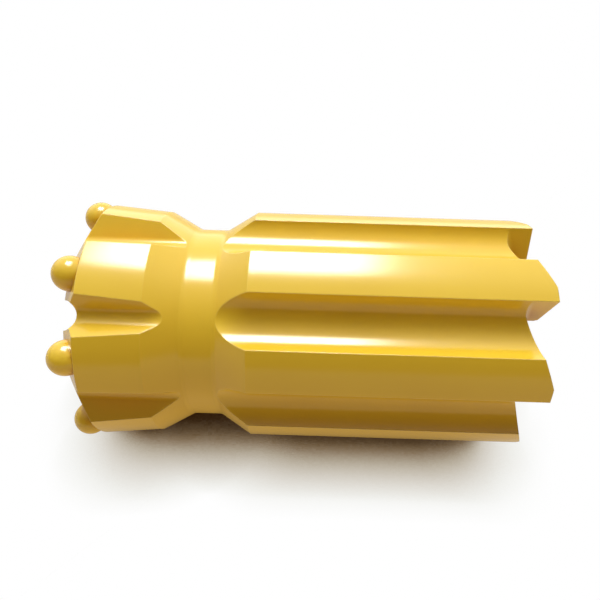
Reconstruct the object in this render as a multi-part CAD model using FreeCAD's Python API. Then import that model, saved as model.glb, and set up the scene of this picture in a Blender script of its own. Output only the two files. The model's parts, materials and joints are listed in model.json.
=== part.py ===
import FreeCAD, Part
import math
import os

# Back-cutting (retractable) button drill bit for top-hammer drilling, lying on its side.
# One steel body holds the head, the neck and a splined skirt with cutting teeth at its rear and
# a threaded socket inside.  Carbide buttons are pressed into drilled seats in the head.
# Millimetres, +Z up.  X runs along the bit's axis, with the face towards -X and the teeth
# towards +X.  A "station" is a distance back from the flat of the face, along the axis.

# ---- head ----
gauge_diameter = 89.0        # over the domes of the outer buttons
rim_radius = 43.3            # widest steel, where the gauge bevel starts
face_radius = 33.0           # flat of the face
gauge_tilt = 35.0            # degrees between the bit's axis and an outer button's axis
head_length = 20.4           # from the rim back to the rear cone
head_taper = 1.8             # drop of the radius over that length
head_cone_length = 11.0      # rear cone of the head, down to the neck

# ---- neck and skirt ----
neck_radius = 35.3
neck_length = 10.6
neck_fillet = 3.2
skirt_cone_length = 11.1
skirt_radius = 42.3
skirt_length = 97.2          # from the cone back to the crests of the teeth

# ---- flutes ----
flute_pairs = 4              # a wide flute and a narrow one in each pair
wide_root_radius = 36.0      # from the axis to the floor of a wide flute
wide_root_width = 3.2
wide_root_fillet = 3.0
wide_wall_angle = 45.0       # degrees between a wall and the flute's middle plane
narrow_root_radius = 38.2
narrow_root_width = 3.2
narrow_root_fillet = 3.4
narrow_wall_angle = 48.0
face_groove_radius = 5.0     # rounded groove that carries a narrow flute onto the face
face_groove_lean = 18.0      # degrees between its floor and the plane of the face
face_groove_lead = 0.6       # from the rim forwards to where its floor leaves the flute's floor
skirt_root_radius = 35.7     # from the axis to the floor of a skirt flute
skirt_flute_radius = 10.0    # its rounded section

# ---- teeth at the rear of the skirt, one behind each flute ----
tooth_lean = 20.5            # degrees from the flute's middle plane to the plane of a tooth's face
crest_lead = 26.0            # degrees from the flute's middle plane to the start of a crest
ramp_angle = 22.8            # slope of a tooth's back
gullet_fillet = 2.4

# ---- socket ----
guide_radius = 26.2          # smooth mouth that guides the rod
guide_length = 47.0          # from the crests to the thread
mouth_chamfer = 1.0
thread_major_radius = 25.8
thread_minor_radius = 23.4
thread_pitch = 22.0          # coarse left-hand thread
thread_length = 62.0
thread_floor_width = 5.6     # flat at the bottom of the thread's groove
thread_flank_angle = 35.0    # degrees between a flank and the axis
relief_radius = 26.3         # run-out past the thread, a little deeper than its groove
relief_length = 7.0
chamber_radius = 12.0        # flushing chamber ahead of the socket's floor
chamber_length = 13.0
flush_diameter = 8.0
flush_face_radius = 18.0     # from the axis to a flushing hole, at the face
flush_chamber_radius = 7.0   # and at the chamber's floor

# ---- buttons ----
gauge_button_diameter = 11.6
gauge_button_stand = 0.7     # from the gauge bevel out to the centre of the dome
gauge_seat_depth = 15.5
gauge_button_offset = 20.3   # degrees between an outer button and the nearest narrow flute
front_button_diameter = 11.0
front_button_stand = 0.4
front_seat_depth = 13.5
front_ring_radius = 20.0
button_foot_chamfer = 0.8

overrun = 10.0               # how far a cutter passes out of the steel

# ---- stations ----
rim_at = (rim_radius - face_radius) * math.tan(math.radians(gauge_tilt))
head_back_at = rim_at + head_length
neck_at = head_back_at + head_cone_length
neck_end_at = neck_at + neck_length
skirt_at = neck_end_at + skirt_cone_length
crest_at = skirt_at + skirt_length
thread_end_at = crest_at - guide_length
thread_at = thread_end_at - thread_length
socket_floor_at = thread_at - relief_length
chamber_floor_at = socket_floor_at - chamber_length
front_tip = front_button_stand + front_button_diameter / 2
flute_step = 180.0 / flute_pairs


def radial(angle, distance=1.0):
    """A point at a distance from the axis.  Angle 0 is towards -Y and 90 is up."""
    turn = math.radians(angle)
    return FreeCAD.Vector(0, -distance * math.cos(turn), distance * math.sin(turn))


def turned(shape, angle):
    """The shape turned about the axis, so that what was at angle 0 is at the given angle."""
    copy = shape.copy()
    copy.rotate(FreeCAD.Vector(0, 0, 0), FreeCAD.Vector(1, 0, 0), -angle)
    return copy


def face_through(points):
    return Part.Face(Part.makePolygon(points + points[:1]))


def edge_along(shape, is_on_edge):
    """The straight edges of the shape whose ends both pass the test."""
    return [edge for edge in shape.Edges
            if len(edge.Vertexes) == 2 and all(is_on_edge(v.Point) for v in edge.Vertexes)]


def wall_half_angle(root_radius, root_width, wall_angle, radius):
    """Half the angle that a straight-walled flute takes out of a circle, in degrees."""
    wall = math.radians(wall_angle)
    reach = root_width / 2 - root_radius * math.tan(wall)
    return wall_angle + math.degrees(math.asin(reach * math.cos(wall) / radius))


def round_half_angle(root_radius, flute_radius, radius):
    """Half the angle that a rounded flute takes out of a circle, in degrees."""
    centre = root_radius + flute_radius
    cosine = (centre ** 2 + radius ** 2 - flute_radius ** 2) / (2 * centre * radius)
    return math.degrees(math.acos(cosine))


wide_edge_angle = wall_half_angle(wide_root_radius, wide_root_width, wide_wall_angle, rim_radius)
skirt_edge_angle = round_half_angle(skirt_root_radius, skirt_flute_radius, skirt_radius)

# The bit lies on the edges of a wide flute, with that flute straight below the axis.
axis_height = max(rim_radius * math.cos(math.radians(wide_edge_angle)),
                  skirt_radius * math.cos(math.radians(skirt_edge_angle)))
to_frame = FreeCAD.Vector((front_tip - crest_at) / 2, 0, axis_height)


def turned_blank():
    """The lathe-turned steel: outer form and socket, before any flute or tooth is cut."""
    lead_in = guide_radius - thread_minor_radius
    outline = [
        (0, 0), (0, face_radius), (rim_at, rim_radius),
        (head_back_at, rim_radius - head_taper),
        (neck_at, neck_radius), (neck_end_at, neck_radius),
        (skirt_at, skirt_radius), (crest_at, skirt_radius),
        (crest_at, guide_radius + mouth_chamfer), (crest_at - mouth_chamfer, guide_radius),
        (thread_end_at, guide_radius), (thread_end_at - lead_in, thread_minor_radius),
        (thread_at, thread_minor_radius), (thread_at, relief_radius),
        (socket_floor_at, relief_radius), (socket_floor_at, chamber_radius),
        (chamber_floor_at, chamber_radius), (chamber_floor_at, 0),
    ]
    half_section = face_through([FreeCAD.Vector(x, 0, r) for x, r in outline])
    blank = half_section.revolve(FreeCAD.Vector(0, 0, 0), FreeCAD.Vector(1, 0, 0), 360)
    neck_rings = [edge for edge in blank.Edges
                  if isinstance(edge.Curve, Part.Circle)
                  and abs(edge.Curve.Radius - neck_radius) < 1e-6]
    return blank.makeFillet(neck_fillet, neck_rings)


def straight_flute(root_radius, root_width, root_fillet, wall_angle):
    """Cutter for a head flute at angle 0: two sloping walls and a floor, along the axis."""
    top = rim_radius + overrun
    half_root = root_width / 2
    half_top = half_root + (top - root_radius) * math.tan(math.radians(wall_angle))
    start, end = -overrun, (neck_at + neck_end_at) / 2
    section = face_through([
        FreeCAD.Vector(start, -root_radius, -half_root), FreeCAD.Vector(start, -top, -half_top),
        FreeCAD.Vector(start, -top, half_top), FreeCAD.Vector(start, -root_radius, half_root),
    ])
    cutter = section.extrude(FreeCAD.Vector(end - start, 0, 0))
    floor_edges = edge_along(cutter, lambda p: abs(p.y + root_radius) < 1e-6)
    long_edges = [edge for edge in floor_edges if edge.Length > root_width + 1e-6]
    return cutter.makeFillet(root_fillet, long_edges)


def face_groove():
    """Cutter for the groove at angle 0 that climbs from a narrow flute onto the face."""
    lean = math.radians(face_groove_lean)
    inward = FreeCAD.Vector(-math.sin(lean), math.cos(lean), 0)
    off_floor = FreeCAD.Vector(-math.cos(lean), -math.sin(lean), 0)
    foot = FreeCAD.Vector(rim_at - face_groove_lead, -narrow_root_radius, 0)
    start = foot + off_floor * face_groove_radius - inward * overrun
    length = overrun + narrow_root_radius / math.cos(lean)
    return Part.makeCylinder(face_groove_radius, length, start, inward)


def skirt_flute():
    """Cutter for a rounded flute at angle 0, from mid-neck out past the teeth."""
    start = (neck_at + neck_end_at) / 2
    centre = FreeCAD.Vector(start, -(skirt_root_radius + skirt_flute_radius), 0)
    length = crest_at + overrun - start
    return Part.makeCylinder(skirt_flute_radius, length, centre, FreeCAD.Vector(1, 0, 0))


def gullet():
    """Cutter for the space between two teeth, for the flute at angle 0.

    The back of the lower tooth is a plane that falls from the crest's leading line.
    It ends in a fillet at the steep face of the upper tooth, which is parallel to the axis.
    """
    x_axis = FreeCAD.Vector(1, 0, 0)
    span = skirt_radius
    crest_line = radial(-crest_lead)
    across = radial(90 - crest_lead)
    start = crest_line * (guide_radius / 2) + x_axis * crest_at
    ramp_end = across * span - x_axis * (span * math.tan(math.radians(ramp_angle)))
    above = x_axis * overrun
    section = face_through([start, start + ramp_end, start + across * span + above, start + above])
    ramp = section.extrude(crest_line * (skirt_radius + overrun))

    face_foot = radial(skirt_edge_angle, skirt_radius) + x_axis * (crest_at - span)
    face_line = radial(tooth_lean, 2 * skirt_radius)
    beyond = radial(90 + tooth_lean, 2 * skirt_radius)
    tooth_side = face_through([face_foot - face_line, face_foot + face_line,
                               face_foot + face_line + beyond, face_foot - face_line + beyond])
    cutter = ramp.cut(tooth_side.extrude(x_axis * (2 * span)))

    ramp_normal = ramp_end.cross(crest_line).normalize()
    face_normal = radial(90 + tooth_lean)
    root = edge_along(cutter, lambda p: abs((p - start).dot(ramp_normal)) < 1e-6
                      and abs((p - face_foot).dot(face_normal)) < 1e-6)
    return cutter.makeFillet(gullet_fillet, root)


def thread_groove():
    """Cutter for the left-hand thread: a flat-bottomed groove wound along the socket."""
    depth = thread_major_radius - thread_minor_radius
    sink = 0.6                                   # how far the section reaches into the open bore
    half_floor = thread_floor_width / 2
    half_mouth = half_floor + (depth + sink) / math.tan(math.radians(thread_flank_angle))
    low, high = thread_minor_radius - sink, thread_major_radius
    turns_length = thread_length + 2 * thread_pitch
    helix = Part.makeLongHelix(thread_pitch, turns_length, thread_minor_radius, 0, True)
    section = Part.makePolygon([
        FreeCAD.Vector(low, 0, -half_mouth), FreeCAD.Vector(high, 0, -half_floor),
        FreeCAD.Vector(high, 0, half_floor), FreeCAD.Vector(low, 0, half_mouth),
        FreeCAD.Vector(low, 0, -half_mouth),
    ])
    sweep = Part.BRepOffsetAPI.MakePipeShell(Part.Wire(helix))
    sweep.setFrenetMode(True)
    sweep.add(section)
    sweep.build()
    sweep.makeSolid()
    winding = sweep.shape()
    winding.rotate(FreeCAD.Vector(0, 0, 0), FreeCAD.Vector(0, 1, 0), 90)
    winding.translate(FreeCAD.Vector(thread_at - thread_pitch, 0, 0))
    zone_start = (socket_floor_at + thread_at) / 2
    zone = Part.makeCylinder(thread_major_radius + overrun, thread_end_at - zone_start,
                             FreeCAD.Vector(zone_start, 0, 0), FreeCAD.Vector(1, 0, 0))
    return winding.common(zone)


def flushing_hole():
    """Cutter for a hole at angle 0, slanting out from the chamber's floor to the face."""
    inner = FreeCAD.Vector(chamber_floor_at, -flush_chamber_radius, 0)
    outer = FreeCAD.Vector(0, -flush_face_radius, 0)
    run = (outer - inner).normalize()
    length = (outer - inner).Length + overrun
    return Part.makeCylinder(flush_diameter / 2, length + 1.0, inner - run, run)


def button(diameter, stand, seat_depth):
    """A domed button along +Z, with the centre of its dome at the origin."""
    radius = diameter / 2
    foot = stand + seat_depth
    dome = Part.makeSphere(radius, FreeCAD.Vector(0, 0, 0), FreeCAD.Vector(0, 0, 1), 0, 90, 360)
    shank = Part.makeCylinder(radius, foot - button_foot_chamfer,
                              FreeCAD.Vector(0, 0, button_foot_chamfer - foot))
    taper = Part.makeCone(radius - button_foot_chamfer, radius, button_foot_chamfer,
                          FreeCAD.Vector(0, 0, -foot))
    return dome.fuse([shank, taper]).removeSplitter()


def seat(diameter, stand, seat_depth):
    """Cutter for that button's hole."""
    foot = stand + seat_depth
    return Part.makeCylinder(diameter / 2, foot + overrun, FreeCAD.Vector(0, 0, -foot))


def placed(shape, station, distance, tilt, angle):
    """A button or a seat with its dome's centre at a station and a distance from the axis."""
    copy = shape.copy()
    # +Z is turned to face forwards, then leant outwards by the tilt
    copy.rotate(FreeCAD.Vector(0, 0, 0), FreeCAD.Vector(0, 1, 0), -90)
    copy.rotate(FreeCAD.Vector(0, 0, 0), FreeCAD.Vector(0, 0, 1), tilt)
    copy.translate(FreeCAD.Vector(station, -distance, 0))
    return turned(copy, angle)


wide_angles = [2 * flute_step * i for i in range(flute_pairs)]
narrow_angles = [angle + flute_step for angle in wide_angles]
all_angles = sorted(wide_angles + narrow_angles)

# The outer domes reach the gauge, and stand at a fixed height over the bevel.
gauge_centre_radius = (gauge_diameter - gauge_button_diameter) / 2
gauge_drop = (rim_radius - gauge_centre_radius) * math.sin(math.radians(gauge_tilt))
gauge_centre_at = rim_at - (gauge_button_stand + gauge_drop) / math.cos(math.radians(gauge_tilt))
gauge_angles = [angle + side * gauge_button_offset for angle in narrow_angles for side in (-1, 1)]
gauge_spots = [(gauge_centre_at, gauge_centre_radius, gauge_tilt, a) for a in gauge_angles]
front_spots = [(-front_button_stand, front_ring_radius, 0, a) for a in wide_angles]
front_spots.append((-front_button_stand, 0, 0, 0))


def bit_body():
    body = turned_blank()
    wide = straight_flute(wide_root_radius, wide_root_width, wide_root_fillet, wide_wall_angle)
    narrow = straight_flute(narrow_root_radius, narrow_root_width, narrow_root_fillet,
                            narrow_wall_angle)
    cutters = [turned(wide, a) for a in wide_angles]
    cutters += [turned(narrow, a) for a in narrow_angles]
    cutters += [turned(face_groove(), a) for a in narrow_angles]
    cutters += [turned(flushing_hole(), a) for a in narrow_angles]
    gauge_seat = seat(gauge_button_diameter, gauge_button_stand, gauge_seat_depth)
    front_seat = seat(front_button_diameter, front_button_stand, front_seat_depth)
    cutters += [placed(gauge_seat, *spot) for spot in gauge_spots]
    cutters += [placed(front_seat, *spot) for spot in front_spots]
    for cutter in cutters:
        body = body.cut(cutter)
    for angle in all_angles:
        body = body.cut(turned(skirt_flute(), angle))
        body = body.cut(turned(gullet(), angle))
    return body.cut(thread_groove())


def export(name, shape):
    shape.translate(to_frame)
    solid = shape.Solids[0]
    solid.exportStep("parts/" + name + ".step")
    print(name, "solids", len(shape.Solids), "valid", solid.isValid(),
          "volume cm3", round(solid.Volume / 1000, 2))


os.makedirs("parts", exist_ok=True)
export("bit_body", bit_body())
gauge_button = button(gauge_button_diameter, gauge_button_stand, gauge_seat_depth)
front_button = button(front_button_diameter, front_button_stand, front_seat_depth)
for number, spot in enumerate(gauge_spots, 1):
    export("gauge_button_" + str(number), placed(gauge_button, *spot))
for number, spot in enumerate(front_spots, 1):
    export("front_button_" + str(number), placed(front_button, *spot))
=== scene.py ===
import json
import math

import bpy
from mathutils import Matrix, Vector


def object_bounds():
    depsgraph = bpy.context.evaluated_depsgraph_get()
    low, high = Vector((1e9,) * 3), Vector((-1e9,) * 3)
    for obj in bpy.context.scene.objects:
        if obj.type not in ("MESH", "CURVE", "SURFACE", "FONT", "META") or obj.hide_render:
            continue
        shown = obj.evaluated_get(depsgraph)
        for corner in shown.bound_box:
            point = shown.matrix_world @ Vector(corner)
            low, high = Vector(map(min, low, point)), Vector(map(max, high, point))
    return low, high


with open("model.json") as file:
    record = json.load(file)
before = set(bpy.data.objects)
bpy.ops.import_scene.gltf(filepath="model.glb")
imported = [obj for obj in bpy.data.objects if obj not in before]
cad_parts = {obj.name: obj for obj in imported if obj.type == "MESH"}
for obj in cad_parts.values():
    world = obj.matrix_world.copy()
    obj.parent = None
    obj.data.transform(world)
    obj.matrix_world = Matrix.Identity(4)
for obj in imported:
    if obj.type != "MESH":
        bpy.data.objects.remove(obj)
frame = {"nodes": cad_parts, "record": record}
boxAtLoad = [list(corner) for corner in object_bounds()]
print("frame loaded,", len(frame["nodes"]), "nodes")

scene = bpy.context.scene
scene.view_settings.view_transform = "Standard"

mounts = {mount["name"]: mount for mount in frame["record"]["mounts"]}
axisHeight = mounts["guide_bore"]["pos_m"][2]   # of the bit's axis over the floor
floorHeight = boxAtLoad[0][2]
mouthAt = boxAtLoad[1][0]                       # the rear end, where the rod goes in


def linear(hexColour):
    # sRGB to linear: v / 12.92 in the darks, ((v + 0.055) / 1.055) ** 2.4 above them
    values = [int(hexColour[i:i + 2], 16) / 255 for i in (1, 3, 5)]
    plain = [v / 12.92 if v <= 0.04045 else ((v + 0.055) / 1.055) ** 2.4 for v in values]
    return (*plain, 1.0)


def addNode(tree, kind, settings, sockets, links):
    # a node with its own settings, plain values on its sockets, and outputs linked into the others
    node = tree.nodes.new(kind)
    for name, value in settings.items():
        setattr(node, name, value)
    for name, value in sockets.items():
        node.inputs[name].default_value = value
    for name, output in links.items():
        tree.links.new(output, node.inputs[name])
    return node


def newMaterial(name):
    material = bpy.data.materials.new(name)
    material.use_nodes = True
    material.node_tree.nodes.clear()
    return material, material.node_tree


enamel = {
    "gold": "#ECC838",
    "goldDeep": "#E5BE33",       # where the coat is a little thicker
    "goldThinAndHighlight": "#FAE382",       # where it has drawn back from a sharp edge, with a painted highlight along it
    "paintedRecessShade": "#CE981B",     # painted shade, darker and browner down in the flutes
    "paintedCornerShade": "#9C6A12",        # painted shade, darker brown in the tight corners
    "undercoatRoughness": 0.6,
    "skinRoughness": 0.17,
    "cloudMm": 26,               # size of the slow changes of tone
    "peelMm": 1.1,               # orange peel of a sprayed coat
    "peelHeightMm": 0.02,
    "peelStrength": 0.05,
    "edgeMm": 0.5,               # how far the paint rounds the sharp edges
    "thinAndHighlightFrom": 0.99,            # cosine of the rounded corner's turn where it starts to thin and take the painted highlight
    "thinAndHighlightFull": 0.85,
    "recessMm": 14,              # how far the walls of a recess are looked for
    "recessFrom": 0.9,           # share of open sky where the painted shade starts
    "recessFull": 0.5,
    "recessMost": 0.85,
    "creviceMm": 2.0,            # how far out of a corner the painted shade reaches
    "creviceFrom": 0.62,         # share of open sky where the painted shade starts
    "creviceFull": 0.3,
    "creviceMost": 0.75,
}


def makeEnamel(name, look):
    # sprayed two-coat golden enamel: an even satin colour under a clear glossy skin that mirrors
    # the lamps, faintly rippled, and pulled thin and round over every machined corner; its colour
    # holds a painted highlight along those corners and painted shade in the flutes and corners
    material, tree = newMaterial(name)
    place = addNode(tree, "ShaderNodeTexCoord", {}, {}, {})
    cloud = addNode(tree, "ShaderNodeTexNoise", {},
                    {"Scale": 1000 / look["cloudMm"], "Detail": 2.0},
                    {"Vector": place.outputs["Object"]})
    tone = addNode(tree, "ShaderNodeMix", {"data_type": "RGBA"},
                   {"A": linear(look["gold"]), "B": linear(look["goldDeep"])},
                   {0: cloud.outputs[0]})
    # painted shade: darker and browner down in the flutes and other recesses, the less sky they
    # see
    walls = addNode(tree, "ShaderNodeAmbientOcclusion", {"samples": 6},
                    {"Distance": look["recessMm"] / 1000}, {})
    deep = addNode(tree, "ShaderNodeMapRange", {},
                   {"From Min": look["recessFrom"], "From Max": look["recessFull"],
                    "To Max": look["recessMost"]}, {"Value": walls.outputs["AO"]})
    coat = addNode(tree, "ShaderNodeMix", {"data_type": "RGBA"},
                   {"B": linear(look["paintedRecessShade"])},
                   {0: deep.outputs[0], "A": tone.outputs["Result"]})
    # thin paint and painted highlight on the edges:
    # how far the rounded corner's normal turns from the flat face's
    edge = addNode(tree, "ShaderNodeBevel", {"samples": 6}, {"Radius": look["edgeMm"] / 1000}, {})
    flat = addNode(tree, "ShaderNodeNewGeometry", {}, {}, {})
    turn = addNode(tree, "ShaderNodeVectorMath", {"operation": "DOT_PRODUCT"}, {},
                   {0: edge.outputs[0], 1: flat.outputs["Normal"]})
    openness = addNode(tree, "ShaderNodeAmbientOcclusion", {"samples": 6},
                    {"Distance": look["creviceMm"] / 1000}, {})
    edgeThinAndLit = addNode(tree, "ShaderNodeMapRange", {},
                   {"From Min": look["thinAndHighlightFrom"], "From Max": look["thinAndHighlightFull"]},
                   {"Value": turn.outputs["Value"]})
    edgeThinAndLitOpen = addNode(tree, "ShaderNodeMath", {"operation": "MULTIPLY"}, {},
                       {0: edgeThinAndLit.outputs[0], 1: openness.outputs["AO"]})
    thin = addNode(tree, "ShaderNodeMix", {"data_type": "RGBA"}, {"B": linear(look["goldThinAndHighlight"])},
                   {0: edgeThinAndLitOpen.outputs[0], "A": coat.outputs["Result"]})
    # painted shade: darker brown in the tight corners, the less sky they see
    shut = addNode(tree, "ShaderNodeMapRange", {},
                   {"From Min": look["creviceFrom"], "From Max": look["creviceFull"],
                    "To Max": look["creviceMost"]}, {"Value": openness.outputs["AO"]})
    paint = addNode(tree, "ShaderNodeMix", {"data_type": "RGBA"}, {"B": linear(look["paintedCornerShade"])},
                    {0: shut.outputs[0], "A": thin.outputs["Result"]})
    peel = addNode(tree, "ShaderNodeTexNoise", {}, {"Scale": 1000 / look["peelMm"], "Detail": 1.0},
                   {"Vector": place.outputs["Object"]})
    ripple = addNode(tree, "ShaderNodeBump", {},
                     {"Strength": look["peelStrength"], "Distance": look["peelHeightMm"] / 1000},
                     {"Height": peel.outputs[0], "Normal": edge.outputs[0]})
    skin = addNode(tree, "ShaderNodeBsdfPrincipled", {},
                   {"Roughness": look["undercoatRoughness"], "IOR": 1.5,
                    "Specular IOR Level": 0.0, "Coat Weight": 1.0,
                    "Coat Roughness": look["skinRoughness"], "Coat IOR": 1.45},
                   {"Base Color": paint.outputs["Result"], "Normal": ripple.outputs[0],
                    "Coat Normal": ripple.outputs[0]})
    addNode(tree, "ShaderNodeOutputMaterial", {}, {}, {"Surface": skin.outputs[0]})
    return material


socket = {                       # masked off while the outside was sprayed, so left bare
    "steel": "#B4AEA4",
    "oil": "#8A7D69",            # where the film of oil that stops rust lies thicker
    "roughness": 0.42,
    "radiusMm": 26.45,           # just outside its bore
    "chamberEndMm": -47.5,       # along the bit, just past the end of the flushing chamber
    "paintStartMm": 3.0,         # from here inwards from the mouth the overspray thins out
    "paintEndMm": 13.0,
    "driftMm": 4.0,              # grain of the overspray's edge
    "clearFrom": 0.75,           # depth into the overspray plus its drift, where steel shows
    "clearFull": 1.3,
    "turningMm": 0.9,            # pitch of the tool marks, drawn coarse enough to show
    "turningDepth": 6.0,         # against the paint's orange peel
    "smearMm": 9,
}


def bareMask(tree, place, look):
    # 1 on the bare steel: nearer the axis than the bore, this side of the chamber's end,
    # and further in than the soft, uneven edge of the overspray
    spot = addNode(tree, "ShaderNodeVectorMath", {"operation": "SUBTRACT"},
                   {1: (0, 0, axisHeight)}, {0: place.outputs["Object"]})
    across = addNode(tree, "ShaderNodeVectorMath", {"operation": "MULTIPLY"},
                     {1: (0, 1, 1)}, {0: spot.outputs[0]})
    radius = addNode(tree, "ShaderNodeVectorMath", {"operation": "LENGTH"}, {},
                     {0: across.outputs[0]})
    within = addNode(tree, "ShaderNodeMath", {"operation": "LESS_THAN"},
                     {1: look["radiusMm"] / 1000}, {0: radius.outputs["Value"]})
    along = addNode(tree, "ShaderNodeSeparateXYZ", {}, {}, {0: spot.outputs[0]})
    ahead = addNode(tree, "ShaderNodeMath", {"operation": "GREATER_THAN"},
                    {1: look["chamberEndMm"] / 1000}, {0: along.outputs["X"]})
    inside = addNode(tree, "ShaderNodeMath", {"operation": "MULTIPLY"}, {},
                     {0: within.outputs[0], 1: ahead.outputs[0]})
    depth = addNode(tree, "ShaderNodeMapRange", {},
                    {"From Min": mouthAt - look["paintStartMm"] / 1000,
                     "From Max": mouthAt - look["paintEndMm"] / 1000},
                    {"Value": along.outputs["X"]})
    drift = addNode(tree, "ShaderNodeTexNoise", {},
                    {"Scale": 1000 / look["driftMm"], "Detail": 3.0},
                    {"Vector": place.outputs["Object"]})
    uneven = addNode(tree, "ShaderNodeMath", {"operation": "ADD"}, {},
                     {0: depth.outputs[0], 1: drift.outputs[0]})
    clear = addNode(tree, "ShaderNodeMapRange", {"interpolation_type": "SMOOTHSTEP"},
                    {"From Min": look["clearFrom"], "From Max": look["clearFull"]},
                    {"Value": uneven.outputs[0]})
    return addNode(tree, "ShaderNodeMath", {"operation": "MULTIPLY"}, {},
                   {0: inside.outputs[0], 1: clear.outputs[0]})


def bareSocket(material, look):
    # turned steel under a film of oil: dull grey with brown smears and fine rings left by the
    # tool; it takes the place of the paint, and the clear coat over it is the oil
    tree = material.node_tree
    skin = next(node for node in tree.nodes if node.type == "BSDF_PRINCIPLED")
    ripple = next(node for node in tree.nodes if node.type == "BUMP")
    place = addNode(tree, "ShaderNodeTexCoord", {}, {}, {})
    bare = bareMask(tree, place, look)
    smear = addNode(tree, "ShaderNodeTexNoise", {},
                    {"Scale": 1000 / look["smearMm"], "Detail": 4.0},
                    {"Vector": place.outputs["Object"]})
    metal = addNode(tree, "ShaderNodeMix", {"data_type": "RGBA"},
                    {"A": linear(look["steel"]), "B": linear(look["oil"])}, {0: smear.outputs[0]})
    paint = skin.inputs["Base Color"].links[0].from_socket
    colour = addNode(tree, "ShaderNodeMix", {"data_type": "RGBA"}, {},
                     {0: bare.outputs[0], "A": paint, "B": metal.outputs["Result"]})
    dull = addNode(tree, "ShaderNodeMapRange", {},
                   {"To Min": enamel["undercoatRoughness"], "To Max": look["roughness"]},
                   {"Value": bare.outputs[0]})
    # the wave repeats each turn of its sine, after 20 times the coordinate times its scale
    rings = addNode(tree, "ShaderNodeTexWave", {"bands_direction": "X"},
                    {"Scale": math.tau / 20 * 1000 / look["turningMm"], "Distortion": 0.6},
                    {"Vector": place.outputs["Object"]})
    cut = addNode(tree, "ShaderNodeMath", {"operation": "MULTIPLY"}, {},
                  {0: bare.outputs[0], 1: rings.outputs["Fac"]})
    peel = ripple.inputs["Height"].links[0].from_socket
    marks = addNode(tree, "ShaderNodeMath", {"operation": "MULTIPLY_ADD"},
                    {1: look["turningDepth"]}, {0: cut.outputs[0], 2: peel})
    tree.links.new(colour.outputs["Result"], skin.inputs["Base Color"])
    tree.links.new(bare.outputs[0], skin.inputs["Metallic"])
    tree.links.new(dull.outputs[0], skin.inputs["Roughness"])
    tree.links.new(marks.outputs[0], ripple.inputs["Height"])


bodyEnamel = makeEnamel("goldenEnamel", enamel)
bareSocket(bodyEnamel, socket)
buttonEnamel = makeEnamel("buttonEnamel", enamel)
for name, node in frame["nodes"].items():
    node.data.materials.clear()
    node.data.materials.append(bodyEnamel if name == "bit_body" else buttonEnamel)
print("enamel on", len(frame["nodes"]), "nodes")


studio = {
    "floorSize": 14.0,
    "floorGap": 0.00005,         # under the bit, so that the two never share a face
    "nearReach": 0.03,           # how far off the bit darkens the floor as the camera sees it
    "farReach": 0.4,             # and as the bit itself sees it
    "shadow": [                  # share of open sky, and the floor's colour there
        (0.28, "#2A1706"),       # the brown dark at the contact
        (0.37, "#7A6345"),
        (0.50, "#B8AE9C"),
        (0.66, "#DAD5CC"),
        (0.83, "#F1F1ED"),
        (1.00, "#FFFFFF"),
    ],
    "bounce": "#FFE6BE",         # white floor's light on the bit
    "mirrored": "#E6E2DA",       # and as its gloss shows it
    "fill": "#FFE6C6",           # even warm light from all round
    "fillLevel": 0.12,
    "gloom": 0.08,               # what the gloss sees low in front, and high behind
    "cove": 2.2,                 # brightness added at the top and back of the cove
    "coveCurve": 2.6,
    "coveFrom": -0.7,            # back plus up, of a direction's unit vector, where it starts
    "coveFull": 1.0,
}

canopy = {                       # broad overhead light that shades the bit
    "lean": 19.0,                # degrees from straight up, to the back
    "distance": 3.0,
    "span": 36.0,                # degrees that it covers, seen from the bit
    "level": 1.18,               # brightness of white paper that faces it
}

softbox = {                      # the window that the gloss mirrors
    "lean": 17.0,
    "distance": 3.0,
    "span": 32.0,                # across the bit's axis, in degrees
    "from": -0.98,               # where it starts and ends along the bit
    "to": 0.64,
    "radiance": 34.0,
    "fade": 0.22,                # share of its width over which each side dims
}


def makePaper(look):
    # matt white paper that glows by itself rather than being lit, going brown and soft-edged where
    # the bit hides the sky, a painted shadow; the shade is worked out from that open share, not
    # cast by the lamps, and the same share dims the glow that the bit takes as light and sees in
    # its gloss
    material, tree = newMaterial("seamlessPaper")
    near = addNode(tree, "ShaderNodeAmbientOcclusion", {"samples": 16},
                   {"Distance": look["nearReach"]}, {})
    far = addNode(tree, "ShaderNodeAmbientOcclusion", {"samples": 8},
                  {"Distance": look["farReach"]}, {})
    shade = addNode(tree, "ShaderNodeValToRGB", {}, {}, {"Fac": near.outputs["AO"]})
    stops = shade.color_ramp.elements
    stops.remove(stops[1])
    stops[0].position, stops[0].color = look["shadow"][0][0], linear(look["shadow"][0][1])
    for openShare, colour in look["shadow"][1:]:
        stops.new(openShare).color = linear(colour)
    ray = addNode(tree, "ShaderNodeLightPath", {}, {}, {})
    clear = addNode(tree, "ShaderNodeMath", {"operation": "MAXIMUM"}, {},
                    {0: ray.outputs["Is Camera Ray"], 1: ray.outputs["Is Transmission Ray"]})
    lit = addNode(tree, "ShaderNodeMix", {"data_type": "RGBA"},
                  {"A": linear(look["bounce"]), "B": linear(look["mirrored"])},
                  {0: ray.outputs["Is Glossy Ray"]})
    sky = addNode(tree, "ShaderNodeMath", {"operation": "MULTIPLY"}, {},
                  {0: near.outputs["AO"], 1: far.outputs["AO"]})
    dimmed = addNode(tree, "ShaderNodeVectorMath", {"operation": "SCALE"}, {},
                     {0: lit.outputs["Result"], "Scale": sky.outputs[0]})
    seen = addNode(tree, "ShaderNodeMix", {"data_type": "RGBA"}, {},
                   {0: clear.outputs[0], "A": dimmed.outputs[0], "B": shade.outputs["Color"]})
    paper = addNode(tree, "ShaderNodeEmission", {}, {"Strength": 1.0},
                    {"Color": seen.outputs["Result"]})
    addNode(tree, "ShaderNodeOutputMaterial", {}, {}, {"Surface": paper.outputs[0]})
    return material


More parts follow.
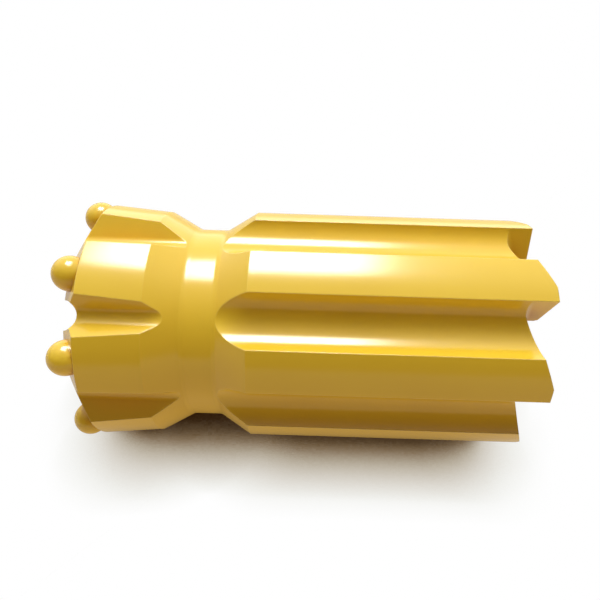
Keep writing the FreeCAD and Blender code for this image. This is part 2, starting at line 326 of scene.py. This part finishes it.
def makeFloor(look):
    half = look["floorSize"] / 2
    corners = [(-half, -half, 0), (half, -half, 0), (half, half, 0), (-half, half, 0)]
    mesh = bpy.data.meshes.new("floor")
    mesh.from_pydata(corners, [], [(0, 1, 2, 3)])
    mesh.materials.append(makePaper(look))
    floor = bpy.data.objects.new("floor", mesh)
    floor.location.z = floorHeight - look["floorGap"]
    scene.collection.objects.link(floor)


def hangLamp(name, look, alongFrom, alongTo, radiance):
    # a flat rectangle facing the bit, its middle at the given lean from straight up;
    # power = radiance * pi * area
    across = alongTo - alongFrom
    deep = 2 * look["distance"] * math.tan(math.radians(look["span"] / 2))
    lean = math.radians(look["lean"])
    away = Vector((0, math.sin(lean), math.cos(lean)))
    lamp = bpy.data.lights.new(name, "AREA")
    lamp.shape = "RECTANGLE"
    lamp.size, lamp.size_y = across, deep
    lamp.energy = radiance * math.pi * across * deep
    box = bpy.data.objects.new(name, lamp)
    middle = Vector(((alongFrom + alongTo) / 2, 0, axisHeight)) + away * look["distance"]
    turn = Matrix((Vector((1, 0, 0)), away.cross(Vector((1, 0, 0))), away)).transposed()
    box.matrix_world = Matrix.Translation(middle) @ turn.to_4x4()
    scene.collection.objects.link(box)
    return box


def makeCanopy(look):
    # radiance = level / share of a facing surface's view that the square canopy takes
    half = math.tan(math.radians(look["span"] / 2))
    reach = half / math.sqrt(1 + half * half)
    share = 4 * reach * math.atan(reach) / math.pi
    size = 2 * look["distance"] * half
    lamp = hangLamp("canopy", look, -size / 2, size / 2, look["level"] / share)
    lamp.visible_glossy = False


def makeSoftbox(look):
    # brightness = rise over the fade from each side, along * across
    lamp = hangLamp("softbox", look, look["from"], look["to"], look["radiance"])
    lamp.visible_diffuse = False
    lamp.data.use_nodes = True
    tree = lamp.data.node_tree
    tree.nodes.clear()
    spot = addNode(tree, "ShaderNodeNewGeometry", {}, {}, {})
    split = addNode(tree, "ShaderNodeSeparateXYZ", {}, {}, {0: spot.outputs["Parametric"]})
    rises = []
    for side in ("X", "Y"):
        inwards = addNode(tree, "ShaderNodeMath", {"operation": "PINGPONG"}, {1: 0.5},
                          {0: split.outputs[side]})
        rises.append(addNode(tree, "ShaderNodeMapRange", {"interpolation_type": "SMOOTHSTEP"},
                             {"From Max": look["fade"]}, {"Value": inwards.outputs[0]}))
    glow = addNode(tree, "ShaderNodeMath", {"operation": "MULTIPLY"}, {},
                   {0: rises[0].outputs[0], 1: rises[1].outputs[0]})
    cloth = addNode(tree, "ShaderNodeEmission", {}, {}, {"Strength": glow.outputs[0]})
    addNode(tree, "ShaderNodeOutputLight", {}, {}, {"Surface": cloth.outputs[0]})


def makeWorld(look):
    # even fill; the gloss sees a white cove above and behind, and a dark room in front:
    # brightness = gloom + cove * rise ** curve, the rise going from low in front to high behind
    world = bpy.data.worlds.new("studio")
    world.use_nodes = True
    tree = world.node_tree
    tree.nodes.clear()
    place = addNode(tree, "ShaderNodeTexCoord", {}, {}, {})
    split = addNode(tree, "ShaderNodeSeparateXYZ", {}, {}, {0: place.outputs["Generated"]})
    upAndBack = addNode(tree, "ShaderNodeMath", {"operation": "ADD"}, {},
                        {0: split.outputs["Y"], 1: split.outputs["Z"]})
    rise = addNode(tree, "ShaderNodeMapRange", {},
                   {"From Min": look["coveFrom"], "From Max": look["coveFull"]},
                   {"Value": upAndBack.outputs[0]})
    curve = addNode(tree, "ShaderNodeMath", {"operation": "POWER"}, {1: look["coveCurve"]},
                    {0: rise.outputs[0]})
    cove = addNode(tree, "ShaderNodeMath", {"operation": "MULTIPLY_ADD"},
                   {1: look["cove"], 2: look["gloom"]}, {0: curve.outputs[0]})
    ray = addNode(tree, "ShaderNodeLightPath", {}, {}, {})
    fill = addNode(tree, "ShaderNodeBackground", {},
                   {"Color": linear(look["fill"]), "Strength": look["fillLevel"]}, {})
    room = addNode(tree, "ShaderNodeBackground", {}, {"Color": (1, 1, 1, 1)},
                   {"Strength": cove.outputs[0]})
    white = addNode(tree, "ShaderNodeBackground", {},
                    {"Color": (1, 1, 1, 1), "Strength": 1.0}, {})
    gloss = addNode(tree, "ShaderNodeMixShader", {}, {},
                    {0: ray.outputs["Is Glossy Ray"], 1: fill.outputs[0], 2: room.outputs[0]})
    seen = addNode(tree, "ShaderNodeMixShader", {}, {},
                   {0: ray.outputs["Is Camera Ray"], 1: gloss.outputs[0], 2: white.outputs[0]})
    addNode(tree, "ShaderNodeOutputWorld", {}, {}, {"Surface": seen.outputs[0]})
    scene.world = world


makeFloor(studio)
makeCanopy(canopy)
makeSoftbox(softbox)
makeWorld(studio)
print("studio ready")


view = {
    "elevation": 42.0,           # degrees above the floor
    "roll": 1.8275,              # degrees
    "distance": 0.19507,         # from the bit's axis
    "overMiddle": 0.00138,       # the point of the axis that it is square to
    "rise": 0.00921,             # of the lens over that point, in the picture's plane
    "lens": 29.856,              # in millimetres, as its sensor is
    "sensor": 36,
}


def makeCamera(look):
    # square to the bit's axis, looking down at it
    tilt, roll = math.radians(look["elevation"]), math.radians(look["roll"])
    towards = Vector((0, -math.cos(tilt), math.sin(tilt)))
    level = Vector((0, math.sin(tilt), math.cos(tilt)))
    right = Vector((math.cos(roll), 0, 0)) + level * math.sin(roll)
    up = Vector((-math.sin(roll), 0, 0)) + level * math.cos(roll)
    data = bpy.data.cameras.new("camera")
    data.lens = look["lens"]
    data.sensor_width = look["sensor"]
    data.clip_start = 0.01
    camera = bpy.data.objects.new("camera", data)
    middle = Vector((look["overMiddle"], 0, axisHeight))
    spot = middle + up * look["rise"] + towards * look["distance"]
    turn = Matrix((right, up, towards)).transposed()
    camera.matrix_world = Matrix.Translation(spot) @ turn.to_4x4()
    scene.collection.objects.link(camera)
    scene.camera = camera


makeCamera(view)
print("camera set")
